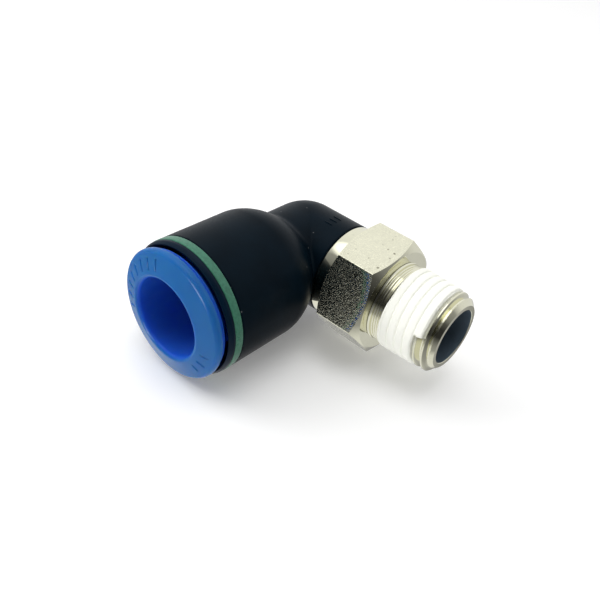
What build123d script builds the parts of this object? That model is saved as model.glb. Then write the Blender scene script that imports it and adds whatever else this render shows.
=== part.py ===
"""Push to connect elbow: 12 mm tube socket on one side, R 1/4 taper thread on the other.

Millimetres.  +X runs out of the threaded end along the thread axis, the tube mouth opens along
-Y, +Z is up.  The origin is on the thread axis, in the face of the hexagon the thread comes out of.
Profiles round the tube axis are given as (radius, station), the station counted from the crossing
of the two axes towards the mouth.  Profiles round the thread axis are given as (x, radius).
"""
from build123d import *
from math import radians, tan
import os

os.makedirs("parts", exist_ok=True)

# crossing of the two axes
CROSS_X = -18.7

# shell of the tube side
SHELL_R = 10.45
SHELL_FRONT = 24.04
NECK_R = 7.7
CONE_START, CONE_END = 6.60, 9.10
SHELL_EDGE_ROUND = 1.9

# tube socket, stations from the crossing
FLOW_R = 4.4
TUBE_STOP = 10.6
PILOT_R = 6.05
SEAL_SEAT, SEAL_END, CLAW_SEAT = 13.6, 16.2, 17.8
SEAL_BORE_R, FRONT_BORE_R = 8.8, 9.3
CLAW_THICK = 0.30
GUIDE_FRONT = 21.5

# branch that carries the threaded stud
BRANCH_R = 7.7
BRANCH_END = CROSS_X + 8.44
COLLAR_CLEAR_R = 7.95
STUD_BORE_R = 6.35
STUD_BORE_END = CROSS_X + 4.1
CLIP_X = CROSS_X + 5.2
CLIP_THICK = 0.7
CLIP_SLOT = 0.9
CLIP_OUT_R, CLIP_IN_R = 6.80, 5.50
CLIP_GROOVE_OUT_R, CLIP_GROOVE_IN_R = 6.85, 5.45
CLIP_GAP = 2.4

# marker ring and end cap
RING_FRONT, RING_SEAT_R = 25.40, 10.0
CAP_RIM_FRONT, CAP_RIM_IN_R = 26.40, 9.95
CAP_DISH = 26.10
CAP_BORE_R = 7.45

# release sleeve
SLEEVE_BORE_R = 6.1
SKIRT_R = 7.38
SLEEVE_NOSE = 18.1
LIP_R, LIP_BACK, LIP_FRONT = 7.85, 19.4, 20.3
GUIDE_SHOULDER, GUIDE_RELIEF_R = 20.4, 7.95
FLANGE_CONE_START = 24.45
MOUTH_R, MOUTH_FACE = 6.7, 29.35
FLANGE_LIP_R, FLANGE_LIP_STATION, FLANGE_LIP_ROUND = 9.12, 27.70, 0.90
SLIT_WIDTH, SLIT_FRONT = 0.8, 22.6

# claw ring
TEETH = 12
TOOTH_GAP = 0.9
TOOTH_ROOT_R, TOOTH_TIP_R = 7.7, 5.95
TOOTH_DROP = 1.05

# threaded stud
HEX_AF = 17.0
HEX_TURN = 11.05
HEX_BACK, HEX_FRONT = CROSS_X + 10.65, 0.0
HEX_FACE_R = 8.25
HEX_CHAMFER = 0.93
COLLAR_R = 7.7
COLLAR_BACK = CROSS_X + 8.56
SPIGOT_R = 6.28
SPIGOT_END = CROSS_X + 4.2
RING_GROOVE = (CROSS_X + 6.2, CROSS_X + 7.8)
RING_GROOVE_R = 5.15
O_RING_CORD_R = 0.59
THREAD_BORE_R = 4.46
NECK_X = 2.0
STUD_NECK_R = 6.42
NECK_GROOVE_DEPTH, NECK_GROOVES = 0.14, 3

# R 1/4 taper thread
PITCH = 1.337
GAUGE_R = 13.157 / 2
GAUGE_LENGTH = 6.0
THREAD_DEPTH = 0.856
THREAD_END = 11.0
TAPER = 1 / 32
FLANK = THREAD_DEPTH * tan(radians(27.5))
FLAT = (PITCH - 2 * FLANK) / 4
LAST_CREST = 9.6
CHAMFER_START = 9.9
END_FACE_R = 5.2

# sealant coat
COAT_END = 8.35
COAT_OVER_CREST = 0.07
COAT_VALLEY = 0.38

TUBE_AXIS = Axis((CROSS_X, 0, 0), (0, 1, 0))


def tube_section(points, rounds=()):
    """Face in the XY plane from (radius, station) points; rounds are (point number, radius)."""
    with BuildSketch(Plane.XY) as sk:
        with BuildLine():
            Polyline(*[(CROSS_X + r, -s) for r, s in points], close=True)
        make_face()
        for number, size in rounds:
            r, s = points[number]
            corner = sk.vertices().sort_by_distance((CROSS_X + r, -s, 0))[0]
            fillet(corner, size)
    return sk.sketch


def stud_section(points):
    """Face in the XY plane from (x, radius) points."""
    with BuildSketch(Plane.XY) as sk:
        with BuildLine():
            Polyline(*points, close=True)
        make_face()
    return sk.sketch


def tube_plane(station):
    """Plane square to the tube axis, looking out of the mouth."""
    return Plane(origin=(CROSS_X, -station, 0), x_dir=(1, 0, 0), z_dir=(0, -1, 0))


def crest_r(x):
    """Crest radius of the taper thread at x."""
    return GAUGE_R - (x - (THREAD_END - GAUGE_LENGTH)) * TAPER


# ---------------------------------------------------------------- elbow body
with BuildPart() as elbow_body:
    revolve(tube_section([
        (0, 0), (NECK_R, 0), (NECK_R, CONE_START), (SHELL_R, CONE_END),
        (SHELL_R, SHELL_FRONT), (0, SHELL_FRONT)],
        rounds=[(3, SHELL_EDGE_ROUND), (2, 0.5)]), axis=TUBE_AXIS)
    with Locations((CROSS_X, 0, 0)):
        Sphere(NECK_R)
    with BuildSketch(Plane.YZ.offset(CROSS_X)):
        Circle(BRANCH_R)
    extrude(amount=BRANCH_END - CROSS_X)
    # tube socket: stepped bores, tube stop, flow passage
    revolve(tube_section([
        (0, 0), (FLOW_R, 0), (FLOW_R, TUBE_STOP), (PILOT_R, TUBE_STOP), (PILOT_R, SEAL_SEAT),
        (SEAL_BORE_R, SEAL_SEAT), (SEAL_BORE_R, CLAW_SEAT), (FRONT_BORE_R, CLAW_SEAT),
        (FRONT_BORE_R, SHELL_FRONT), (0, SHELL_FRONT)]), axis=TUBE_AXIS, mode=Mode.SUBTRACT)
    with Locations((CROSS_X, 0, 0)):
        Sphere(FLOW_R, mode=Mode.SUBTRACT)
    # stud bore with the groove the retaining ring turns in
    half_slot = CLIP_SLOT / 2
    revolve(stud_section([
        (CROSS_X, 0), (CROSS_X, FLOW_R), (STUD_BORE_END, FLOW_R), (STUD_BORE_END, STUD_BORE_R),
        (CLIP_X - half_slot, STUD_BORE_R), (CLIP_X - half_slot, CLIP_GROOVE_OUT_R),
        (CLIP_X + half_slot, CLIP_GROOVE_OUT_R), (CLIP_X + half_slot, STUD_BORE_R),
        (BRANCH_END - 0.3, STUD_BORE_R), (BRANCH_END, STUD_BORE_R + 0.3),
        (BRANCH_END, 0)]), axis=Axis.X, mode=Mode.SUBTRACT)
    # relief in the shell's shoulder that the stud's collar turns in
    revolve(stud_section([
        (BRANCH_END, 0), (BRANCH_END, COLLAR_CLEAR_R), (HEX_BACK, COLLAR_CLEAR_R),
        (HEX_BACK, 0)]), axis=Axis.X, mode=Mode.SUBTRACT)
elbow_body.part.label = "elbow_body"
export_step(elbow_body.part, "parts/elbow_body.step")

# ---------------------------------------------------------------- marker ring
with BuildPart() as marker_ring:
    revolve(tube_section([
        (RING_SEAT_R, SHELL_FRONT), (SHELL_R, SHELL_FRONT), (SHELL_R, RING_FRONT),
        (RING_SEAT_R, RING_FRONT)]), axis=TUBE_AXIS)
marker_ring.part.label = "marker_ring"
export_step(marker_ring.part, "parts/marker_ring.step")

# ---------------------------------------------------------------- end cap
with BuildPart() as end_cap:
    dish_depth = (CAP_RIM_IN_R - CAP_BORE_R) * 1.04
    revolve(tube_section([
        (CAP_BORE_R, GUIDE_FRONT), (FRONT_BORE_R, GUIDE_FRONT), (FRONT_BORE_R, SHELL_FRONT),
        (RING_SEAT_R, SHELL_FRONT), (RING_SEAT_R, RING_FRONT), (SHELL_R, RING_FRONT),
        (SHELL_R, CAP_RIM_FRONT), (CAP_RIM_IN_R, CAP_RIM_FRONT),
        (CAP_RIM_IN_R, CAP_DISH), (CAP_BORE_R, CAP_DISH - dish_depth)],
        rounds=[(6, 0.45)]), axis=TUBE_AXIS)
end_cap.part.label = "end_cap"
export_step(end_cap.part, "parts/end_cap.step")

# ---------------------------------------------------------------- release sleeve
with BuildPart() as release_sleeve:
    with BuildSketch(Plane.XY) as sleeve_profile:
        x0 = CROSS_X
        lip_in = (x0 + FLANGE_LIP_R - 0.15, -(FLANGE_LIP_STATION + FLANGE_LIP_ROUND - 0.012))
        lip_mid = (x0 + FLANGE_LIP_R + FLANGE_LIP_ROUND, -FLANGE_LIP_STATION)
        lip_out = (x0 + FLANGE_LIP_R + 0.60, -(FLANGE_LIP_STATION - 0.67))
        with BuildLine():
            Polyline(
                lip_out, (x0 + SKIRT_R, -FLANGE_CONE_START), (x0 + SKIRT_R, -LIP_FRONT),
                (x0 + LIP_R, -LIP_FRONT), (x0 + LIP_R, -LIP_BACK - 0.3),
                (x0 + SKIRT_R, -LIP_BACK), (x0 + SKIRT_R - 0.1, -SLEEVE_NOSE - 0.9),
                (x0 + SLEEVE_BORE_R + 0.5, -SLEEVE_NOSE), (x0 + SLEEVE_BORE_R, -SLEEVE_NOSE),
                (x0 + SLEEVE_BORE_R, -MOUTH_FACE + 0.75))
            RadiusArc((x0 + SLEEVE_BORE_R, -MOUTH_FACE + 0.75), (x0 + MOUTH_R, -MOUTH_FACE), -0.72)
            Line((x0 + MOUTH_R, -MOUTH_FACE), lip_in)
            ThreePointArc(lip_in, lip_mid, lip_out)
        make_face()
    revolve(axis=TUBE_AXIS)
    # slits that let the skirt snap past the guide ring
    with BuildSketch(tube_plane(SLEEVE_NOSE - 0.5)):
        with PolarLocations(SKIRT_R, 4, start_angle=45):
            Rectangle(4.0, SLIT_WIDTH)
    extrude(amount=SLIT_FRONT - SLEEVE_NOSE + 0.5, mode=Mode.SUBTRACT)
release_sleeve.part.label = "release_sleeve"
export_step(release_sleeve.part, "parts/release_sleeve.step")

# ---------------------------------------------------------------- guide ring
with BuildPart() as guide_ring:
    back = CLAW_SEAT + CLAW_THICK
    revolve(tube_section([
        (GUIDE_RELIEF_R, back), (FRONT_BORE_R, back), (FRONT_BORE_R, GUIDE_FRONT),
        (CAP_BORE_R, GUIDE_FRONT), (CAP_BORE_R, GUIDE_SHOULDER),
        (GUIDE_RELIEF_R, GUIDE_SHOULDER)]), axis=TUBE_AXIS)
guide_ring.part.label = "guide_ring"
export_step(guide_ring.part, "parts/guide_ring.step")

# ---------------------------------------------------------------- claw ring
with BuildPart() as claw_ring:
    top = CLAW_SEAT + CLAW_THICK
    revolve(tube_section([
        (FRONT_BORE_R, CLAW_SEAT), (FRONT_BORE_R, top), (TOOTH_ROOT_R, top),
        (TOOTH_TIP_R, top - TOOTH_DROP), (TOOTH_TIP_R + 0.12, top - TOOTH_DROP - 0.26),
        (TOOTH_ROOT_R, CLAW_SEAT)]), axis=TUBE_AXIS)
    with BuildSketch(tube_plane(CLAW_SEAT - 2)):
        with PolarLocations(TOOTH_ROOT_R - 1.2, TEETH):
            Rectangle(2.8, TOOTH_GAP)
    extrude(amount=4, mode=Mode.SUBTRACT)
claw_ring.part.label = "claw_ring"
export_step(claw_ring.part, "parts/claw_ring.step")

# ---------------------------------------------------------------- seal spacer
with BuildPart() as seal_spacer:
    revolve(tube_section([
        (6.25, SEAL_END), (SEAL_BORE_R, SEAL_END), (SEAL_BORE_R, CLAW_SEAT),
        (TOOTH_ROOT_R + 0.25, CLAW_SEAT), (6.25, SEAL_END + 0.35)]), axis=TUBE_AXIS)
seal_spacer.part.label = "seal_spacer"
export_step(seal_spacer.part, "parts/seal_spacer.step")

# ---------------------------------------------------------------- tube seal
with BuildPart() as tube_seal:
    revolve(tube_section([
        (SEAL_BORE_R, SEAL_END), (SEAL_BORE_R, SEAL_SEAT + 0.15), (8.3, SEAL_SEAT + 0.15),
        (7.9, 15.0), (7.0, 15.0), (6.5, SEAL_SEAT + 0.2), (5.9, SEAL_SEAT + 0.35),
        (6.4, 15.5), (6.4, SEAL_END)],
        rounds=[(2, 0.15), (5, 0.15)]), axis=TUBE_AXIS)
tube_seal.part.label = "tube_seal"
export_step(tube_seal.part, "parts/tube_seal.step")

# ---------------------------------------------------------------- thread profile
thread_line = [(NECK_X, crest_r(NECK_X))]
groove_centres = []
centre = LAST_CREST - PITCH / 2
while centre - FLANK - FLAT > NECK_X:
    groove_centres.insert(0, centre)
    centre -= PITCH
for centre in groove_centres:
    for offset, depth in ((-FLANK - FLAT, 0), (-FLAT, THREAD_DEPTH),
                          (FLAT, THREAD_DEPTH), (FLANK + FLAT, 0)):
        x = centre + offset
        thread_line.append((x, crest_r(x) - depth))
thread_line += [(CHAMFER_START, crest_r(CHAMFER_START)), (THREAD_END, END_FACE_R)]

neck_line = [(HEX_FRONT, STUD_NECK_R)]
groove_step = NECK_X / (NECK_GROOVES + 1)
for i in range(1, NECK_GROOVES + 1):
    x = i * groove_step
    neck_line += [(x - 0.14, STUD_NECK_R), (x, STUD_NECK_R - NECK_GROOVE_DEPTH),
                  (x + 0.14, STUD_NECK_R)]
neck_line.append((NECK_X, STUD_NECK_R))

# ---------------------------------------------------------------- hexagon stud
with BuildPart() as hex_stud:
    with BuildSketch(Plane.YZ.offset(HEX_BACK)):
        RegularPolygon(HEX_AF / 2, 6, major_radius=False, rotation=HEX_TURN)
    extrude(amount=HEX_FRONT - HEX_BACK)
    corner_r = HEX_FACE_R + HEX_CHAMFER / tan(radians(30))
    revolve(stud_section([
        (HEX_BACK, 0), (HEX_BACK, HEX_FACE_R), (HEX_BACK + HEX_CHAMFER, corner_r),
        (HEX_FRONT - HEX_CHAMFER, corner_r), (HEX_FRONT, HEX_FACE_R), (HEX_FRONT, 0)]),
        axis=Axis.X, mode=Mode.INTERSECT)
    clip_back, clip_front = CLIP_X - CLIP_SLOT / 2, CLIP_X + CLIP_SLOT / 2
    revolve(stud_section([
        (HEX_BACK, 0), (HEX_BACK, COLLAR_R), (COLLAR_BACK + 0.2, COLLAR_R),
        (COLLAR_BACK, COLLAR_R - 0.2), (COLLAR_BACK, SPIGOT_R), (RING_GROOVE[1], SPIGOT_R),
        (RING_GROOVE[1], RING_GROOVE_R), (RING_GROOVE[0], RING_GROOVE_R),
        (RING_GROOVE[0], SPIGOT_R), (clip_front, SPIGOT_R), (clip_front, CLIP_GROOVE_IN_R),
        (clip_back, CLIP_GROOVE_IN_R), (clip_back, SPIGOT_R), (SPIGOT_END + 0.25, SPIGOT_R),
        (SPIGOT_END, SPIGOT_R - 0.25), (SPIGOT_END, 0)]), axis=Axis.X)
    revolve(stud_section([(HEX_FRONT, 0)] + neck_line + thread_line + [(THREAD_END, 0)]),
            axis=Axis.X)
    revolve(stud_section([
        (SPIGOT_END, 0), (SPIGOT_END, THREAD_BORE_R + 0.35),
        (SPIGOT_END + 0.35, THREAD_BORE_R), (THREAD_END, THREAD_BORE_R), (THREAD_END, 0)]),
        axis=Axis.X, mode=Mode.SUBTRACT)
hex_stud.part.label = "hex_stud"
export_step(hex_stud.part, "parts/hex_stud.step")

# ---------------------------------------------------------------- thread sealant
with BuildPart() as thread_sealant:
    under = [p for p in thread_line if p[0] < COAT_END]
    under.append((COAT_END, crest_r(COAT_END)))
    over = [(NECK_X, crest_r(NECK_X) + COAT_OVER_CREST)]
    for centre in groove_centres:
        for offset, lift in ((-FLANK - FLAT / 2, COAT_OVER_CREST),
                             (0, COAT_VALLEY - THREAD_DEPTH),
                             (FLANK + FLAT / 2, COAT_OVER_CREST)):
            if centre + offset < COAT_END:
                over.append((centre + offset, crest_r(centre + offset) + lift))
    over.append((COAT_END, crest_r(COAT_END) + COAT_OVER_CREST))
    revolve(stud_section(under + over[::-1]), axis=Axis.X)
thread_sealant.part.label = "thread_sealant"
export_step(thread_sealant.part, "parts/thread_sealant.step")

# ---------------------------------------------------------------- swivel O-ring
with BuildPart() as swivel_o_ring:
    with BuildSketch(Plane.XY):
        with Locations((sum(RING_GROOVE) / 2, RING_GROOVE_R + O_RING_CORD_R)):
            Circle(O_RING_CORD_R)
    revolve(axis=Axis.X)
swivel_o_ring.part.label = "swivel_o_ring"
export_step(swivel_o_ring.part, "parts/swivel_o_ring.step")

# ---------------------------------------------------------------- retaining ring
with BuildPart() as retaining_ring:
    with BuildSketch(Plane.YZ.offset(CLIP_X - CLIP_THICK / 2)):
        Circle(CLIP_OUT_R)
        Circle(CLIP_IN_R, mode=Mode.SUBTRACT)
        with Locations((0, -(CLIP_OUT_R + CLIP_IN_R) / 2)):
            Rectangle(CLIP_GAP, 2.0, mode=Mode.SUBTRACT)
    extrude(amount=CLIP_THICK)
retaining_ring.part.label = "retaining_ring"
export_step(retaining_ring.part, "parts/retaining_ring.step")
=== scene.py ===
"""Looks of a push to connect elbow: black body, green ring, blue sleeve, plated stud.

Shapes are worked out in millimetres.  Stations along the tube axis run from the crossing of
the two axes towards the mouth; x along the thread axis is the row's own x.
"""
import math

import bpy
import numpy as np
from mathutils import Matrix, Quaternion, Vector


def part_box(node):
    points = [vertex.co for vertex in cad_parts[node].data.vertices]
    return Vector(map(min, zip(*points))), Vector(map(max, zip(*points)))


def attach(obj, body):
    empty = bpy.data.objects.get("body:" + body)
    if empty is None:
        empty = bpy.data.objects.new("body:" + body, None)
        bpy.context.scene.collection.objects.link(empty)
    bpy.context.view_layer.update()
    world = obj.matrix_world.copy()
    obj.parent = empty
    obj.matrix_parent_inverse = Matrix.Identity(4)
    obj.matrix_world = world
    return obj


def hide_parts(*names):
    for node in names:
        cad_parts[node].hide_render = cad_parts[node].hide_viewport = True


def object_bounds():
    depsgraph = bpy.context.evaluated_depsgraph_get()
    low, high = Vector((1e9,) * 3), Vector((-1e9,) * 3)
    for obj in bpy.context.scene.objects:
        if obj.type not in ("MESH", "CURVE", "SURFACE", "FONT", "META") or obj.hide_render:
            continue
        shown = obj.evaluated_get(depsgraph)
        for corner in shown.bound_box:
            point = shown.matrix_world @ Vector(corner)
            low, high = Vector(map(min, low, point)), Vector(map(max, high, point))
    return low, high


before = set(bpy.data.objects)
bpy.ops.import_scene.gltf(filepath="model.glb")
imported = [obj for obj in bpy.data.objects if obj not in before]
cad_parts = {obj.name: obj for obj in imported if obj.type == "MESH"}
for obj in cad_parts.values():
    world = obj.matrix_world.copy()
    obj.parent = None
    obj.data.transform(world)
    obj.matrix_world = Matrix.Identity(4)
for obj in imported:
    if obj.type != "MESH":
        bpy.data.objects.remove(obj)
CAD_BOX = [list(corner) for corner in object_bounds()]

MM = 0.001
TAU = 2 * math.pi


def edges_mm(node):
    """Lowest and highest corner of a CAD node, in millimetres."""
    low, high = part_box(node)
    return Vector(low) / MM, Vector(high) / MM


# ------------------------------------------------------------------ main sizes from the frame
body_low, body_high = edges_mm("elbow_body")
sleeve_low, sleeve_high = edges_mm("release_sleeve")
stud_low, stud_high = edges_mm("hex_stud")

SHELL_R = body_high.z
CROSS_X = body_low.x + SHELL_R
SHELL_FRONT = -body_low.y
RING_FRONT = -edges_mm("marker_ring")[0].y
CAP_FRONT = -edges_mm("end_cap")[0].y
MOUTH = -sleeve_low.y
NOSE = -sleeve_high.y
THREAD_END = stud_high.x
SPIGOT_END = stud_low.x
COAT_START = edges_mm("thread_sealant")[0].x
NECK_R = body_high.y

# ------------------------------------------------------------------ other sizes, mostly as in the CAD
# elbow, from the crossing of the axes along either of them
CONE_START, CONE_RUN, CONE_RISE = 6.60, 2.50, 2.75
SHELL_EDGE_FILLET = 2.6
BRANCH_END, COLLAR_ROOM_R = 8.44, 7.95
FLOW_R = 4.4
PILOT_R, TUBE_STOP = 6.05, 10.6
SEAL_BORE_R, SEAL_SEAT = 8.8, 13.6
FRONT_BORE_R, CLAW_SEAT = 9.3, 17.8
STUD_BORE_R, STUD_BORE_END = 6.35, 4.1
CLIP_SLOT_R, CLIP_AT, CLIP_SLOT = 6.85, 5.2, 0.9

# marker ring and end cap
RING_SEAT_R = 10.0
CAP_BACK, CAP_BORE_R = 21.5, 7.45
CAP_R, CAP_EDGE = SHELL_R - 0.06, 25.85
CAP_RIM_R, CAP_RIM_IN_R = 10.05, 9.95
CAP_DISH, CAP_DISH_FLOOR = 26.1, 23.5

# release sleeve
BORE_R, SKIRT_R, RIB_R = 6.1, 7.38, 7.85
RIB_BACK, RIB_FRONT = 19.7, 20.3
MOUTH_R = 6.7
LIP_R, LIP_S, LIP_ROUND = 9.12, 27.70, 0.90

# stud: spigot, collar and hexagon
SPIGOT_R, CLIP_GROOVE_R, RING_GROOVE_R = 6.28, 5.45, 5.15
CLIP_GROOVE = (CROSS_X + 4.75, CROSS_X + 5.65)
RING_GROOVE = (CROSS_X + 6.2, CROSS_X + 7.8)
COLLAR_BACK, COLLAR_R = CROSS_X + 8.56, 7.7
HEX_BACK = CROSS_X + 10.65
HEX_TURN = math.radians(11.05)
HEX_AF = 17.0
HEX_FACE_R = 8.25
CHAMFER = math.tan(math.radians(30))
NECK_END, STUD_NECK_R = 2.0, 6.42

# stud: R 1/4 taper thread
PITCH = 1.337
GAUGE_R = 13.157 / 2
GAUGE_X, TAPER = 5.0, 1 / 32
THREAD_DEPTH = 0.856
FLANK = THREAD_DEPTH * math.tan(math.radians(27.5))
FLAT = (PITCH - 2 * FLANK) / 4
CREST_AT = 8.966
CHAMFER_START, END_FACE_R, THREAD_BORE_R = 9.9, 5.2, 4.46


# ------------------------------------------------------------------ mesh helpers
def smooth(edge0, edge1, value):
    t = np.clip((value - edge0) / (edge1 - edge0), 0, 1)
    return t * t * (3 - 2 * t)


def rounded(points, steps=5):
    """Closed path from (a, b, radius) corners, each corner turned into an arc of that radius."""
    path = []
    count = len(points)
    for i, (a, b, radius) in enumerate(points):
        here = np.array((a, b), float)
        if radius <= 0:
            path.append(here)
            continue
        before = np.array(points[i - 1][:2], float) - here
        after = np.array(points[(i + 1) % count][:2], float) - here
        u, v = before / np.linalg.norm(before), after / np.linalg.norm(after)
        half = math.acos(float(np.clip(u @ v, -1, 1))) / 2
        reach = radius / math.tan(half)
        centre = here + (u + v) / np.linalg.norm(u + v) * radius / math.sin(half)
        start, end = here + u * reach - centre, here + v * reach - centre
        turn = math.pi - 2 * half
        for k in range(steps + 1):
            t = k / steps
            weights = math.sin((1 - t) * turn), math.sin(t * turn)
            path.append(centre + (start * weights[0] + end * weights[1]) / math.sin(turn))
    return path


def dense(path, longest, closed=True):
    """The path with long runs divided."""
    out = []
    for i, here in enumerate(path):
        if not closed and i == len(path) - 1:
            return out + [here]
        there = path[(i + 1) % len(path)]
        parts = max(1, int(math.ceil(np.linalg.norm(there - here) / longest)))
        out += [here + (there - here) * k / parts for k in range(parts)]
    return out


def add_mesh(name, points, faces, sharp=35.0):
    """Object from points in millimetres."""
    mesh = bpy.data.meshes.new(name)
    mesh.from_pydata((np.asarray(points) * MM).tolist(), [], faces)
    mesh.validate()
    mesh.shade_smooth()
    if sharp:
        mesh.set_sharp_from_angle(angle=math.radians(sharp))
    obj = bpy.data.objects.new(name, mesh)
    bpy.context.scene.collection.objects.link(obj)
    return obj


def soften(obj, start, end):
    """No sharp edges between two stations of the thread axis, in millimetres."""
    mesh = obj.data
    flags = np.zeros(len(mesh.edges), bool)
    mesh.attributes["sharp_edge"].data.foreach_get("value", flags)
    ends = np.zeros(len(mesh.edges) * 2, int)
    mesh.edges.foreach_get("vertices", ends)
    places = np.zeros(len(mesh.vertices) * 3)
    mesh.vertices.foreach_get("co", places)
    x = places[0::3][ends.reshape(-1, 2)].mean(1) / MM
    mesh.attributes["sharp_edge"].data.foreach_set("value", flags & ((x < start) | (x > end)))


def ring_faces(rings, around):
    """Quads between closed rings, the last ring joined to the first."""
    faces = []
    for i in range(rings):
        k = (i + 1) % rings
        for j in range(around):
            n = (j + 1) % around
            faces.append((i * around + j, i * around + n, k * around + n, k * around + j))
    return faces


def tube_rings(path, angles):
    """Points of the (radius, station) path swept round the tube axis."""
    path = np.asarray(path)
    r, s = path[:, :1], path[:, 1:]
    return np.stack([CROSS_X + r * np.cos(angles), -s + 0 * angles, r * np.sin(angles)], -1)


def tube_lathe(name, path, around=256, sharp=35.0):
    angles = np.arange(around) * TAU / around
    points = tube_rings(path, angles).reshape(-1, 3)
    return add_mesh(name, points, ring_faces(len(path), around), sharp)


def iso_surface(field, low, high, step, nudge=0.002):
    """Quads on the zero surface of field, pulled onto it and evened out.

    The nudge is the distance over which the slope of the field is measured."""
    low = np.asarray(low, float)
    counts = [int(math.ceil((b - a) / step)) + 1 for a, b in zip(low, high)]
    grid = np.meshgrid(*[a + step * np.arange(n) for a, n in zip(low, counts)], indexing="ij")
    inside = field(*grid) < 0
    corners = sum(
        inside[i:counts[0] - 1 + i, j:counts[1] - 1 + j, k:counts[2] - 1 + k].astype(np.int8)
        for i in (0, 1) for j in (0, 1) for k in (0, 1))
    mixed = (corners > 0) & (corners < 8)
    index = np.full(mixed.shape, -1)
    index[mixed] = np.arange(mixed.sum())
    points = low + (np.argwhere(mixed) + 0.5) * step
    quads = []
    for axis in range(3):
        a, b = (axis + 1) % 3, (axis + 2) % 3
        lower = [slice(1, -1)] * 3
        upper = [slice(1, -1)] * 3
        lower[axis], upper[axis] = slice(0, -1), slice(1, None)
        here, there = inside[tuple(lower)], inside[tuple(upper)]
        for found, flip in ((here & ~there, False), (~here & there, True)):
            cells = np.argwhere(found)
            cells[:, a] += 1
            cells[:, b] += 1
            unit_a, unit_b = np.eye(3, dtype=int)[a], np.eye(3, dtype=int)[b]
            around = [cells - unit_a - unit_b, cells - unit_b, cells, cells - unit_a]
            if flip:
                around.reverse()
            quads.append(np.stack([index[tuple(c.T)] for c in around], 1))
    quads = np.concatenate(quads)
    ends = np.concatenate([quads[:, [i, (i + 1) % 4]] for i in range(4)])
    for turn in range(5):
        if turn:
            total = np.zeros_like(points)
            number = np.zeros(len(points))
            np.add.at(total, ends[:, 0], points[ends[:, 1]])
            np.add.at(number, ends[:, 0], 1)
            points += 0.5 * (total / number[:, None] - points)
        for _ in range(4):
            value = field(*points.T)
            slope = np.stack([
                (field(*(points + shift).T) - field(*(points - shift).T)) / (2 * nudge)
                for shift in np.eye(3) * nudge], 1)
            length = np.maximum((slope ** 2).sum(1), 0.05)
            points -= np.clip(value / length, -step, step)[:, None] * slope
    return points, quads.tolist()


# ------------------------------------------------------------------ materials
def new_material(name):
    mat = bpy.data.materials.new(name)
    mat.use_nodes = True
    tree = mat.node_tree
    shader = tree.nodes["Principled BSDF"]
    return mat, tree, shader


def node(tree, kind, inputs=(), **settings):
    made = tree.nodes.new(kind)
    for key, value in settings.items():
        setattr(made, key, value)
    for key, value in dict(inputs).items():
        if isinstance(value, bpy.types.NodeSocket):
            tree.links.new(value, made.inputs[key])
        else:
            made.inputs[key].default_value = value
    return made


def coordinates(tree):
    return node(tree, "ShaderNodeTexCoord").outputs["Object"]


def noise(tree, where, scale, detail=3.0, rough=0.5):
    return node(tree, "ShaderNodeTexNoise", {
        "Vector": where, "Scale": scale, "Detail": detail, "Roughness": rough}).outputs["Fac"]


def ramp(tree, value, *stops):
    made = node(tree, "ShaderNodeValToRGB", {"Fac": value})
    elements = made.color_ramp.elements
    while len(elements) < len(stops):
        elements.new(0.5)
    for element, (place, colour) in zip(elements, stops):
        element.position = place
        element.color = (*colour, 1) if len(colour) == 3 else colour
    return made.outputs["Color"]


def grey(value):
    return (value, value, value)


def mix(tree, factor, a, b, blend="MIX"):
    made = node(tree, "ShaderNodeMix", data_type="RGBA", blend_type=blend)
    for socket, value in ((made.inputs[0], factor), (made.inputs[6], a), (made.inputs[7], b)):
        if isinstance(value, bpy.types.NodeSocket):
            tree.links.new(value, socket)
        else:
            socket.default_value = value if socket.type == "VALUE" else (*value, 1)
    return made.outputs[2]


def bump(tree, height, distance, strength=1.0, normal=None):
    inputs = {"Height": height, "Distance": distance, "Strength": strength}
    if normal is not None:
        inputs["Normal"] = normal
    return node(tree, "ShaderNodeBump", inputs).outputs["Normal"]


def moulded(name, colour, roughness, grain, mottling, specks=0.0, gloss=0.5, cloudy=260):
    """Moulded plastic: fine grain of this depth, slow mottling, and a few light grey specks painted in
    as small glints.
    """
    mat, tree, shader = new_material(name)
    where = coordinates(tree)
    cloud = noise(tree, where, cloudy, 4)
    fine = noise(tree, where, 2600, 3, 0.6)
    dark = tuple(c * (1 - mottling) for c in colour)
    light = tuple(min(1, c * (1 + mottling)) for c in colour)
    tint = ramp(tree, cloud, (0.3, dark), (0.7, light))
    # Painted glints: light grey specks mixed into the base colour over the whole surface.
    if specks:
        dots = node(tree, "ShaderNodeTexVoronoi", {"Vector": where, "Scale": 420.0})
        glint_mask = ramp(tree, dots.outputs["Distance"], (0.03, grey(specks)), (0.06, grey(0)))
        tint = mix(tree, glint_mask, tint, grey(0.20))
    tree.links.new(tint, shader.inputs["Base Color"])
    rough = ramp(tree, fine, (0.3, grey(roughness * 0.88)), (0.7, grey(roughness * 1.12)))
    tree.links.new(rough, shader.inputs["Roughness"])
    shader.inputs["Specular IOR Level"].default_value = gloss
    normal = bump(tree, fine, grain, 0.5, bump(tree, cloud, grain * 2, 0.3))
    tree.links.new(normal, shader.inputs["Normal"])
    return mat


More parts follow.
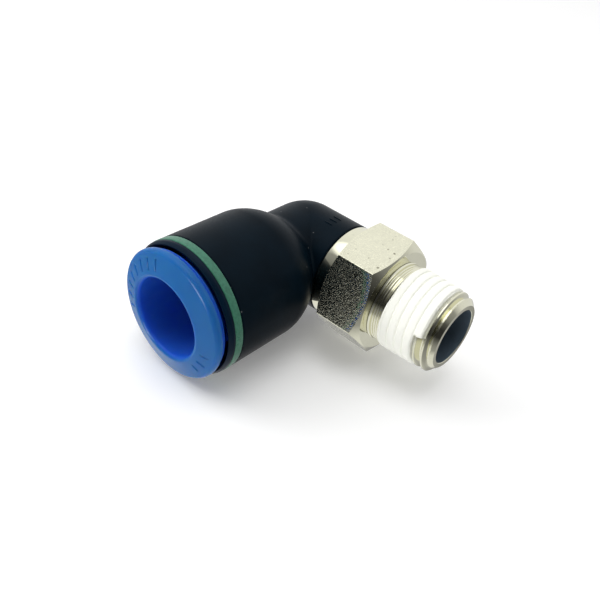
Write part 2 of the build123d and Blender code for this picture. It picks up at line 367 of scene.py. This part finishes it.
def plated(name, colour, roughness, grain, size, pits, lines=0.0, metallic=1.0, raised=False):
    """Metal, grainy or turned, with small dark pits.

    The grain has this depth and size, and lines is the depth of the tool marks.  Raised grain
    stands in separate specks on a flat ground."""
    mat, tree, shader = new_material(name)
    where = coordinates(tree)
    fine = noise(tree, where, 1 / size, 1, 0.6)
    cloud = noise(tree, where, 300, 4)
    dots = node(tree, "ShaderNodeTexVoronoi", {"Vector": where, "Scale": 900.0})
    spots = ramp(tree, dots.outputs["Distance"], (0.10, grey(1)), (0.24, grey(0)))
    patch = ramp(tree, noise(tree, where, 700, 2), (0.46, grey(0)), (0.60, grey(pits)))
    tint = ramp(tree, cloud, (0.3, tuple(c * 0.95 for c in colour)), (0.7, colour))
    worn = mix(tree, mix(tree, 1.0, spots, patch, "MULTIPLY"), tint, (0.16, 0.15, 0.10))
    tree.links.new(worn, shader.inputs["Base Color"])
    shader.inputs["Metallic"].default_value = metallic
    rough = ramp(tree, fine, (0.3, grey(roughness * 0.8)), (0.7, grey(roughness * 1.2)))
    tree.links.new(rough, shader.inputs["Roughness"])
    height = ramp(tree, fine, (0.50, grey(0)), (0.72, grey(1))) if raised else fine
    normal = bump(tree, height, grain, 1.0)
    if lines:
        stretched = node(tree, "ShaderNodeMapping", {"Vector": where, "Scale": (1, 0.02, 0.02)})
        turned = noise(tree, stretched.outputs["Vector"], 9000, 2)
        normal = bump(tree, turned, lines, 1.0, normal)
    tree.links.new(normal, shader.inputs["Normal"])
    return mat


BLACK = moulded("black_resin", (0.0014, 0.0060, 0.0110), roughness=0.36, grain=0.000008,
                mottling=0.2, specks=0.5, gloss=0.05)
BLACK_CAP = moulded("black_resin_cap", (0.0018, 0.0095, 0.0215), roughness=0.34, grain=0.000008,
                    mottling=0.2, specks=0.2, gloss=0.08)
GREEN = moulded("green_ring", (0.040, 0.165, 0.104), roughness=0.30, grain=0.00003,
                mottling=0.22, gloss=0.35, cloudy=2400)
BLUE = moulded("blue_acetal", (0.015, 0.120, 0.345), roughness=0.20, grain=0.0000015,
               mottling=0.04, gloss=0.16)
# Painted shade: the deeper blue laid into the sleeve's bore and behind its lip.
PAINTED_SHADE_BLUE = (0.018, 0.10, 0.56)
BORE_FADE = (6.12 * MM, 6.5 * MM)
BEHIND_LIP = (-27.45 * MM, -27.25 * MM)


def paint_shade_in_hollows(mat, shade_colour):
    """Painted shade: a deeper, more saturated blue in the bore and behind the lip, standing in for the
    light that bounces between blue walls there.

    It fades out over a range of radii from the tube axis and over a range of stations."""
    tree = mat.node_tree
    shader = tree.nodes["Principled BSDF"]
    tint = shader.inputs["Base Color"].links[0].from_socket
    centred = node(tree, "ShaderNodeVectorMath", {0: coordinates(tree)}, operation="SUBTRACT")
    centred.inputs[1].default_value = (CROSS_X * MM, 0, 0)
    across = node(tree, "ShaderNodeVectorMath", {0: centred.outputs[0]}, operation="MULTIPLY")
    across.inputs[1].default_value = (1, 0, 1)
    radius = node(tree, "ShaderNodeVectorMath", {0: across.outputs[0]}, operation="LENGTH")
    inside = node(tree, "ShaderNodeMapRange", {
        "Value": radius.outputs["Value"], "From Min": BORE_FADE[0], "From Max": BORE_FADE[1],
        "To Min": 1.0, "To Max": 0.0})
    along = node(tree, "ShaderNodeSeparateXYZ", {"Vector": centred.outputs[0]})
    behind = node(tree, "ShaderNodeMapRange", {
        "Value": along.outputs["Y"], "From Min": BEHIND_LIP[0], "From Max": BEHIND_LIP[1]})
    hidden = node(tree, "ShaderNodeMath", {
        0: inside.outputs["Result"], 1: behind.outputs["Result"]}, operation="MAXIMUM")
    tree.links.new(mix(tree, hidden.outputs[0], tint, shade_colour), shader.inputs["Base Color"])


# Painted shade in the sleeve's bore and behind its lip.
paint_shade_in_hollows(BLUE, PAINTED_SHADE_BLUE)
for socket, value in (("Subsurface Weight", 0.5), ("Subsurface Radius", (0.05, 0.25, 1)),
                      ("Subsurface Scale", 0.0025)):
    BLUE.node_tree.nodes["Principled BSDF"].inputs[socket].default_value = value
NICKEL = (0.79, 0.78, 0.62)
NICKEL_FLAT = plated("nickel_flat", NICKEL, roughness=0.08, grain=0.000022, size=0.00014,
                     pits=0.9, raised=True)
NICKEL_TURNED = plated("nickel_turned", NICKEL, roughness=0.06, grain=0.0000015, size=0.0004,
                       pits=0.1, lines=0.0000012)
SEALANT = moulded("white_sealant", (0.97, 0.975, 0.90), roughness=0.62, grain=0.00003,
                  mottling=0.02, gloss=0.35)
BRASS = plated("brass_ring", (0.72, 0.50, 0.22), roughness=0.28, grain=0.000005, size=0.0004,
               pits=0.2, lines=0.000003)
STEEL = plated("claw_steel", (0.55, 0.55, 0.53), roughness=0.25, grain=0.000004, size=0.0004,
               pits=0.1)
RESIN = moulded("white_resin", (0.62, 0.60, 0.54), roughness=0.5, grain=0.00001, mottling=0.06)
BORE = plated("bore_plating", (0.14, 0.19, 0.24), roughness=0.40, grain=0.000001, size=0.0004,
              pits=0.0, metallic=0.5)
RUBBER = moulded("seal_rubber", (0.012, 0.012, 0.013), roughness=0.55, grain=0.00002, mottling=0.2)


def paint(obj, *materials):
    obj.data.materials.clear()
    for mat in materials:
        obj.data.materials.append(mat)


for cad_node, material in (("guide_ring", BRASS), ("claw_ring", STEEL), ("seal_spacer", RESIN),
                           ("tube_seal", RUBBER), ("swivel_o_ring", RUBBER),
                           ("retaining_ring", STEEL)):
    paint(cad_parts[cad_node], material)


# ------------------------------------------------------------------ elbow body
def round_max(a, b, radius):
    """Where both are met, with the outer corner rounded."""
    return (np.minimum(np.maximum(a, b), -radius)
            + np.hypot(np.maximum(a + radius, 0), np.maximum(b + radius, 0)))


def round_min(a, b, radius):
    """Where either is met, with the inner corner filled."""
    return -round_max(-a, -b, radius)


CONE_NORMAL = np.array((CONE_RUN, -CONE_RISE)) / math.hypot(CONE_RUN, CONE_RISE)
CORNER_FILL, CONE_FILL = 0.35, 0.7
EDGE_ROUND, FRONT_ROUND, BRANCH_ROUND = 0.08, 0.12, 0.2


def elbow_field(x, y, z):
    """Below 0 inside the elbow's body: the outside as a union, less the passage and the seats."""
    x = x - CROSS_X
    s = -y
    r = np.hypot(x, z)
    round_x = np.hypot(y, z)
    ball = np.sqrt(x * x + y * y + z * z)
    neck = np.maximum(r - NECK_R, -s)
    branch = round_max(round_x - NECK_R, x - BRANCH_END, BRANCH_ROUND)
    branch = np.maximum(branch, -x)
    # The fill fades out where the two cylinders meet without a corner, at the top and bottom.
    alike = z * z / np.maximum(r * round_x, 1)
    fill = CORNER_FILL * np.clip(1 - alike, 0, 1) ** 1.5
    elbow = np.minimum(round_min(neck, branch, fill), ball - NECK_R)
    cone = (r - NECK_R) * CONE_NORMAL[0] + (s - CONE_START) * CONE_NORMAL[1]
    shell = round_max(r - SHELL_R, cone, SHELL_EDGE_FILLET)
    shell = round_max(shell, s - SHELL_FRONT, FRONT_ROUND)
    outer = round_min(elbow, shell, CONE_FILL)
    outer = np.maximum(outer, -np.maximum(round_x - COLLAR_ROOM_R, BRANCH_END - x))
    flow = np.minimum(np.maximum(r - FLOW_R, -s), ball - FLOW_R)
    hollow = np.minimum(flow, np.maximum(round_x - FLOW_R, -x))
    for radius, start in ((PILOT_R, TUBE_STOP), (SEAL_BORE_R, SEAL_SEAT), (FRONT_BORE_R, CLAW_SEAT)):
        hollow = np.minimum(hollow, np.maximum(r - radius, start - s))
    hollow = np.minimum(hollow, np.maximum(round_x - STUD_BORE_R, STUD_BORE_END - x))
    clip_slot = np.maximum(round_x - CLIP_SLOT_R, np.abs(x - CLIP_AT) - CLIP_SLOT / 2)
    return round_max(outer, -np.minimum(hollow, clip_slot), EDGE_ROUND)


GRID_STEP, GRID_MARGIN = 0.22, 0.31
points, quads = iso_surface(elbow_field, [place - GRID_MARGIN for place in body_low],
                            [place + GRID_MARGIN for place in body_high], GRID_STEP)
body = add_mesh("elbow_shell", points, quads, 0)
paint(body, BLACK)
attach(body, "elbow")
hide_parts("elbow_body")

# Three plain bars on the branch, in place of the mark there.
MARK_MIDDLE, MARK_HALF = 5.05, 0.85
MARK_WIDTH, MARK_HEIGHT, MARK_SUNK = 0.34, 0.17, 0.05
MARK_ANGLES = (83, 91, 99)


def raised_bar(angle, loops=13, sides=12):
    """Points and faces of a low rounded bar along the branch, at an angle round its axis."""
    bar_points = []
    for u in np.linspace(-1, 1, loops):
        scale = max(0.05, (1 - abs(u) ** 6) ** 0.5)
        for k in range(sides):
            v = TAU * k / sides
            turned = angle + scale * MARK_WIDTH / 2 * math.cos(v) / NECK_R
            r = NECK_R - MARK_SUNK + scale * MARK_HEIGHT * math.sin(v)
            x = CROSS_X + MARK_MIDDLE + u * MARK_HALF
            bar_points.append((x, r * math.cos(turned), r * math.sin(turned)))
    bar_faces = ring_faces(loops, sides)[:(loops - 1) * sides]
    bar_faces.append(tuple(range(sides - 1, -1, -1)))
    bar_faces.append(tuple((loops - 1) * sides + k for k in range(sides)))
    return bar_points, bar_faces


mark_points, mark_faces = [], []
for degrees in MARK_ANGLES:
    bar_points, bar_faces = raised_bar(math.radians(degrees))
    mark_faces += [tuple(k + len(mark_points) for k in bar_face) for bar_face in bar_faces]
    mark_points += bar_points
marks = add_mesh("branch_marks", mark_points, mark_faces, 50)
paint(marks, BLACK)
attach(marks, "elbow")

# ------------------------------------------------------------------ marker ring and end cap
JOINT_GAP = 0.02
marker = tube_lathe("green_marker", rounded([
    (RING_SEAT_R, SHELL_FRONT + JOINT_GAP, 0), (SHELL_R, SHELL_FRONT + JOINT_GAP, 0.08),
    (SHELL_R, RING_FRONT - JOINT_GAP, 0.2), (RING_SEAT_R, RING_FRONT - JOINT_GAP, 0)]), 360)
paint(marker, GREEN)
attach(marker, "elbow")
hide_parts("marker_ring")

cap_outline = rounded([
    (CAP_BORE_R, CAP_BACK, 0.1), (FRONT_BORE_R, CAP_BACK, 0.1), (FRONT_BORE_R, SHELL_FRONT, 0),
    (RING_SEAT_R, SHELL_FRONT, 0), (RING_SEAT_R, RING_FRONT, 0), (CAP_R, RING_FRONT, 0.05),
    (CAP_R, CAP_EDGE, 0.6), (CAP_RIM_R, CAP_FRONT, 0.15), (CAP_RIM_IN_R, CAP_FRONT, 0.02),
    (CAP_RIM_IN_R, CAP_DISH, 0.2), (CAP_BORE_R, CAP_DISH_FLOOR, 0.3)])
cap = tube_lathe("mouth_cap", dense(cap_outline, 1.5), 256)
paint(cap, BLACK_CAP)
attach(cap, "elbow")
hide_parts("end_cap")

# ------------------------------------------------------------------ release sleeve
# The flange's front is a cone out to the crease, and from there the lip curls back.
CREASE, LIP_BACK = 60, -20
MOUTH_ROUND_R, MOUTH_ROUND_S = 0.62, 0.72
# The nose is this much shorter than the CAD's, to clear the claws when the sleeve is pressed.
CLAW_ROOM = 0.25
SLEEVE_AROUND = 640


def lip_point(degrees):
    """Point of the lip's round edge: 0 degrees is straight outwards, 90 straight to the front."""
    a = math.radians(degrees)
    return np.array((LIP_R + LIP_ROUND * math.cos(a), LIP_S + LIP_ROUND * math.sin(a)))


face_in = np.array((MOUTH_R, MOUTH))
face_out = lip_point(CREASE)
lip = [lip_point(CREASE + (LIP_BACK - CREASE) * k / 18) for k in range(19)]
mouth_round = [
    np.array((BORE_R + MOUTH_ROUND_R * (1 - math.cos(a)), MOUTH - MOUTH_ROUND_S * (1 - math.sin(a))))
    for a in np.radians(np.linspace(0, 82, 9))]
face = [face_in + (face_out - face_in) * t for t in np.linspace(0.02, 0.985, 40)]
flange_back = [(9.68, 26.78, 0.12), (8.88, 25.98, 0.6), (8.00, 25.05, 0.8), (SKIRT_R, 24.35, 0.2)]
snap_rib = [(SKIRT_R, RIB_FRONT, 0.03), (RIB_R, RIB_FRONT, 0.06), (RIB_R, RIB_BACK, 0.06),
            (SKIRT_R, 19.4, 0.05)]
nose_end = [(7.28, 19.0, 0.2), (6.6, NOSE + CLAW_ROOM, 0.1), (BORE_R, NOSE + CLAW_ROOM, 0.05),
            (BORE_R, 28.0, 0)]
skirt = rounded(flange_back + snap_rib + nose_end)
profile = mouth_round + face + lip + dense(skirt, 0.8, False)
sleeve_angles = np.arange(SLEEVE_AROUND) * TAU / SLEEVE_AROUND
# Plain ticks in place of the flange's lettering: (angle in degrees, inner radius, outer radius).
TICKS = [(degrees, 7.35, 8.75) for degrees in range(106, 210, 13)]
TICKS += [(degrees, 7.65, 8.70) for degrees in (320, 333, 346)]
TICK_WIDTH, TICK_DEPTH, TICK_EDGE = 0.34, 0.16, 0.06


def tick_cut(r, angle):
    """1 inside one of the short radial ticks of the flange's face, 0 outside."""
    cut = 0 * angle
    for degrees, inner, outer in TICKS:
        off = np.mod(angle - math.radians(degrees) + math.pi, TAU) - math.pi
        along = np.clip(r, inner, outer) - r
        away = np.hypot(along, r * off)
        edge = smooth(TICK_WIDTH / 2 - TICK_EDGE, TICK_WIDTH / 2 + TICK_EDGE, away)
        cut = np.maximum(cut, 1 - edge)
    return cut


rings = tube_rings(profile, sleeve_angles)
first_face = len(mouth_round)
for i in range(first_face, first_face + len(face)):
    rings[i, :, 1] += TICK_DEPTH * tick_cut(profile[i][0], sleeve_angles)
sleeve = add_mesh("blue_release_sleeve", rings.reshape(-1, 3),
                  ring_faces(len(profile), SLEEVE_AROUND), 40)
paint(sleeve, BLUE)
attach(sleeve, "sleeve")
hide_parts("release_sleeve")

# ------------------------------------------------------------------ threaded stud
NECK_GROOVES, GROOVE_DEPTH, GROOVE_HALF = (0.80, 1.25, 1.70), 0.10, 0.16
NECK_STEP, COATED_STEP, BARE_STEP = 0.04, 0.08, 0.025
# From here on the thread can be seen, and its rings stand closer.
BARE_FROM = 7.6

# Angles of the stud's points: close at the hexagon's corners, wide along its faces.
corner_angles = np.radians([0, 0.35, 0.7, 1.05, 1.6])
sector = np.concatenate([corner_angles, np.linspace(math.radians(2.4), math.radians(57.6), 41),
                         math.radians(60) - corner_angles[:0:-1]])
stud_angles = np.concatenate([HEX_TURN + k * math.pi / 3 + sector for k in range(6)])


def hex_radius(angle, corner_round=0.22):
    """Distance from the axis to a hexagon with rounded corners."""
    off = np.mod(angle - HEX_TURN, math.pi / 3)
    off = np.minimum(off, math.pi / 3 - off)
    flat = HEX_AF / 2 / np.cos(math.pi / 6 - off)
    centre = (HEX_AF / 2 - corner_round) / math.cos(math.pi / 6)
    limit = math.atan2(corner_round / 2, centre + corner_round * math.cos(math.pi / 6))
    arc = centre * np.cos(off) + np.sqrt(
        np.maximum(corner_round ** 2 - (centre * np.sin(off)) ** 2, 0))
    return np.where(off < limit, arc, flat)


def crest_radius(x):
    return GAUGE_R - (x - GAUGE_X) * TAPER


def groove_depth(x, angle):
    """0 on the crest and 1 in the root of the right-hand thread."""
    phase = (x - CREST_AT) / PITCH - angle / TAU
    off = np.abs(phase - np.round(phase)) * PITCH
    t = np.clip((off - FLAT) / FLANK, 0, 1)
    return 0.85 * t + 0.15 * t * t * (3 - 2 * t)


def thread_radius(x, angle):
    start = smooth(NECK_END - 0.1, NECK_END + 0.9, x)
    r = crest_radius(x) - THREAD_DEPTH * groove_depth(x, angle) * start
    cone = crest_radius(CHAMFER_START) + (x - CHAMFER_START) * (
        END_FACE_R - crest_radius(CHAMFER_START)) / (THREAD_END - CHAMFER_START)
    return np.minimum(r, cone)


def constant_ring(x, r):
    return np.stack([np.full_like(stud_angles, x), np.full_like(stud_angles, r)], 1)


BORE_CHAMFER, SPIGOT_CHAMFER = 0.35, 0.25
spigot = [(SPIGOT_END, THREAD_BORE_R + BORE_CHAMFER, 0), (SPIGOT_END, SPIGOT_R - SPIGOT_CHAMFER, 0),
          (SPIGOT_END + SPIGOT_CHAMFER, SPIGOT_R, 0)]
for (start, end), depth_r in ((CLIP_GROOVE, CLIP_GROOVE_R), (RING_GROOVE, RING_GROOVE_R)):
    spigot += [(start, SPIGOT_R, 0), (start, depth_r, 0), (end, depth_r, 0), (end, SPIGOT_R, 0)]
collar = [(COLLAR_BACK, SPIGOT_R, 0), (COLLAR_BACK, COLLAR_R, 0.2), (HEX_BACK - 0.01, COLLAR_R, 0)]
stud_rings = [constant_ring(x, r) for x, r in rounded(spigot + collar)]
hexagon = hex_radius(stud_angles)
stud_rings.append(constant_ring(HEX_BACK, COLLAR_R + 0.1))
stud_rings.append(constant_ring(HEX_BACK, HEX_FACE_R))
back_edge = HEX_BACK + (hexagon - HEX_FACE_R) * CHAMFER
front_edge = -(hexagon - HEX_FACE_R) * CHAMFER
hex_first = len(stud_rings)
for t in np.linspace(0, 1, 12):
    stud_rings.append(np.stack([back_edge + (front_edge - back_edge) * t, hexagon], 1))
hex_last = len(stud_rings) - 1
stud_rings.append(constant_ring(0, HEX_FACE_R))
stud_rings += [constant_ring(0, r) for r in (7.6, 7.0, STUD_NECK_R)]
for x in np.arange(NECK_STEP, NECK_END - 0.12, NECK_STEP):
    fillet = 1.6 * max(0.0, 0.35 - x) ** 2
    waves = [math.cos(math.pi * min(1.0, abs(x - place) / GROOVE_HALF)) for place in NECK_GROOVES]
    grooves = sum(GROOVE_DEPTH / 2 * (1 + wave) for wave in waves)
    stud_rings.append(constant_ring(x, STUD_NECK_R + fillet - grooves))
for x in np.concatenate([np.arange(NECK_END - 0.1, BARE_FROM, COATED_STEP),
                         np.arange(BARE_FROM, THREAD_END, BARE_STEP)]):
    stud_rings.append(np.stack([np.full_like(stud_angles, x), thread_radius(x, stud_angles)], 1))
stud_rings += [constant_ring(x, r) for x, r in (
    (THREAD_END, END_FACE_R), (THREAD_END, THREAD_BORE_R + 0.06),
    (THREAD_END - 0.06, THREAD_BORE_R), (-4.0, THREAD_BORE_R),
    (SPIGOT_END + BORE_CHAMFER, THREAD_BORE_R))]
stud_rings = np.array(stud_rings)


def stud_points(rings):
    x, r = rings[..., 0], rings[..., 1]
    return np.stack([x, r * np.cos(stud_angles), r * np.sin(stud_angles)], -1).reshape(-1, 3)


stud = add_mesh("plated_stud", stud_points(stud_rings),
                ring_faces(len(stud_rings), len(stud_angles)), 25)
soften(stud, NECK_END, CHAMFER_START)
paint(stud, NICKEL_TURNED, NICKEL_FLAT, BORE)
for face_number, polygon in enumerate(stud.data.polygons):
    ring = face_number // len(stud_angles)
    if hex_first <= ring < hex_last:
        polygon.material_index = 1
    elif ring >= len(stud_rings) - 3:
        polygon.material_index = 2
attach(stud, "stud")
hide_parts("hex_stud")


# ------------------------------------------------------------------ sealant coat
def wobble(x, angle, seed):
    """Slow unevenness that closes round the thread."""
    total = 0
    for n in range(1, 7):
        total = total + math.sin(seed * n * 1.7) * np.sin(
            n * angle * (1 + n % 3) + seed * n + x * (0.6 + 0.9 * n)) / n
    return total / 2


# The angle at which the coat's edge steps by a pitch, and the station its winding starts from.
COAT_STEP = math.radians(165)
COAT_EDGE = CREST_AT - 1.37 * PITCH
FILM, CROWN, LEAN = 0.09, 0.05, 0.02
ROOT_LINE, ROOT_LINE_WIDTH = 0.19, 0.13
COAT_RING_STEP, COAT_BACK = 0.04, 0.12


def coat_edge(angle):
    """Where the coat ends: along the thread, with one step of a pitch."""
    along = COAT_STEP + np.mod(angle - COAT_STEP, TAU)
    ragged = 0.10 * wobble(0 * angle, angle, 2.0) + 0.05 * wobble(0 * angle, 7 * angle, 5.0)
    return COAT_EDGE + PITCH * along / TAU + ragged


def coat_radius(x, angle):
    """Nearly flat bands with a narrow line over each root of the thread."""
    across = np.mod((x - CREST_AT) / PITCH - angle / TAU + 0.5, 1)
    line = np.exp(-(np.minimum(across, 1 - across) * PITCH / ROOT_LINE_WIDTH) ** 2)
    crown = CROWN * np.sin(math.pi * across) + LEAN * across
    uneven = 0.02 * wobble(x + 0 * angle, angle, 1.0)
    return crest_radius(x) + FILM + crown - ROOT_LINE * line + uneven


outline = []
for x in np.arange(COAT_START, coat_edge(stud_angles).max() + 0.1, COAT_RING_STEP):
    base = thread_radius(x, stud_angles)
    cover = smooth(0, 0.16, coat_edge(stud_angles) - x) * smooth(COAT_START - 0.05, COAT_START + 0.25, x)
    film = np.maximum(coat_radius(x, stud_angles) - base, 0.03)
    outline.append((x, base, cover * film))
outer = [np.stack([np.full_like(stud_angles, x), base + film - 0.02], 1) for x, base, film in outline]
inner = [np.stack([np.full_like(stud_angles, x), base - COAT_BACK], 1) for x, base, _ in outline[::3]]
coat_rings = np.array(outer + inner[::-1])
coat = add_mesh("sealant_coat", stud_points(coat_rings),
                ring_faces(len(coat_rings), len(stud_angles)), 0)
paint(coat, SEALANT)
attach(coat, "stud")
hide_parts("thread_sealant")

# ------------------------------------------------------------------ floor, light, camera
FLOOR_Z = CAD_BOX[0][2]
FLOOR_HALF = 3.0
corners = [(FLOOR_HALF * i, FLOOR_HALF * j, FLOOR_Z) for i, j in ((-1, -1), (1, -1), (1, 1), (-1, 1))]
floor_mesh = bpy.data.meshes.new("floor")
floor_mesh.from_pydata(corners, [], [(0, 1, 2, 3)])
floor = bpy.data.objects.new("floor", floor_mesh)
bpy.context.scene.collection.objects.link(floor)
floor_mat, _, floor_shader = new_material("floor_paper")
floor_shader.inputs["Base Color"].default_value = (0.88, 0.88, 0.88, 1)
floor_shader.inputs["Roughness"].default_value = 0.9
floor_shader.inputs["Emission Color"].default_value = (1, 1, 1, 1)
floor_shader.inputs["Emission Strength"].default_value = 0.16
paint(floor, floor_mat)
# In reflections the sky's lower half stands for the floor.
floor.visible_glossy = False

world = bpy.data.worlds.new("studio")
world.use_nodes = True
sky = world.node_tree
TOWARDS = node(sky, "ShaderNodeTexCoord").outputs["Generated"]


def glow(centre, *stops):
    """Light of the sky by the cosine of the angle from a direction: (cosine, brightness) stops."""
    cosine = node(sky, "ShaderNodeVectorMath", operation="DOT_PRODUCT")
    sky.links.new(TOWARDS, cosine.inputs[0])
    cosine.inputs[1].default_value = Vector(centre).normalized()
    value = node(sky, "ShaderNodeMapRange", {
        "Value": cosine.outputs["Value"], "From Min": -1.0, "From Max": 1.0}).outputs["Result"]
    return ramp(sky, value, *[((place + 1) / 2, grey(shade)) for place, shade in stops])


# A bright backdrop behind the object, darker on the camera's side, a soft light overhead, the
# pale floor below and a reflector card behind the thread.
backdrop = glow((-0.30, 0.74, 0.60), (-0.35, 0.03), (-0.15, 0.09), (0.0, 0.22), (0.12, 0.28),
                (0.28, 0.33), (0.34, 0.50), (0.50, 0.80), (0.70, 0.90), (0.95, 1.0))
overhead = glow((-0.25, -0.12, 0.95), (0.90, 0.0), (0.95, 1.0), (1.0, 1.0))
ground = glow((-0.05, -0.35, -0.935), (0.12, 0.0), (0.28, 0.12), (0.45, 0.28), (0.58, 0.36),
              (0.70, 0.80), (0.85, 0.90))
card = glow((0.51, 0.66, -0.55), (0.955, 0.0), (0.98, 0.62), (1.0, 0.70))
light = mix(sky, 1.0, mix(sky, 1.0, backdrop, ground, "LIGHTEN"), card, "LIGHTEN")
light = mix(sky, 1.0, light, overhead, "ADD")
# The camera sees plain white behind the object.
seen = node(sky, "ShaderNodeLightPath").outputs["Is Camera Ray"]
sky.links.new(mix(sky, seen, light, grey(1.0)), sky.nodes["Background"].inputs["Color"])
sky.nodes["Background"].inputs["Strength"].default_value = 1.0
bpy.context.scene.world = world

MIDDLE = Vector((CROSS_X * MM * 0.5, -0.008, 0))
FRONT_PLACE = (0.0, -0.40, 0.07)


def softbox(name, place, size, power, mirrored=False):
    """Square area lamp, in metres and watts, aimed at the middle of the part."""
    data = bpy.data.lights.new(name, "AREA")
    data.shape = "RECTANGLE"
    data.size = size
    data.size_y = size
    data.energy = power
    lamp = bpy.data.objects.new(name, data)
    lamp.location = place
    lamp.rotation_euler = (MIDDLE - Vector(place)).to_track_quat("-Z", "Y").to_euler()
    lamp.visible_glossy = mirrored
    bpy.context.scene.collection.objects.link(lamp)
    return lamp


softbox("overhead", (0.02, -0.02, 0.45), 0.25, 0.4)
softbox("left", (-0.33, -0.15, 0.24), 0.25, 0.75)
softbox("front", FRONT_PLACE, 0.16, 0.5)
# The front lamp's reflection, which only the sleeve shows.
glint = softbox("glint", FRONT_PLACE, 0.16, 1.6, mirrored=True)
glint.visible_diffuse = False
glint.light_linking.receiver_collection = bpy.data.collections.new("glossy_blue")
glint.light_linking.receiver_collection.objects.link(sleeve)

# The camera's place, the point it looks at in the plane of the two axes, and its tilt, all
# fitted to the outlines in the photo.
CAMERA_PLACE = Vector((CROSS_X + 58.755, -75.827, 62.616)) * MM
CAMERA_AIM = Vector((CROSS_X + 9.309, -11.194, 0)) * MM
CAMERA_TILT = math.radians(8.202)
camera_data = bpy.data.cameras.new("camera")
camera_data.sensor_width = 36
camera_data.lens = 41.13
camera_data.clip_start = 0.001
camera = bpy.data.objects.new("camera", camera_data)
camera.location = CAMERA_PLACE
aimed = (CAMERA_AIM - CAMERA_PLACE).to_track_quat("-Z", "Y")
camera.rotation_euler = (aimed @ Quaternion((0, 0, 1), CAMERA_TILT)).to_euler()
bpy.context.scene.collection.objects.link(camera)
bpy.context.scene.camera = camera
bpy.context.scene.view_settings.view_transform = "Standard"
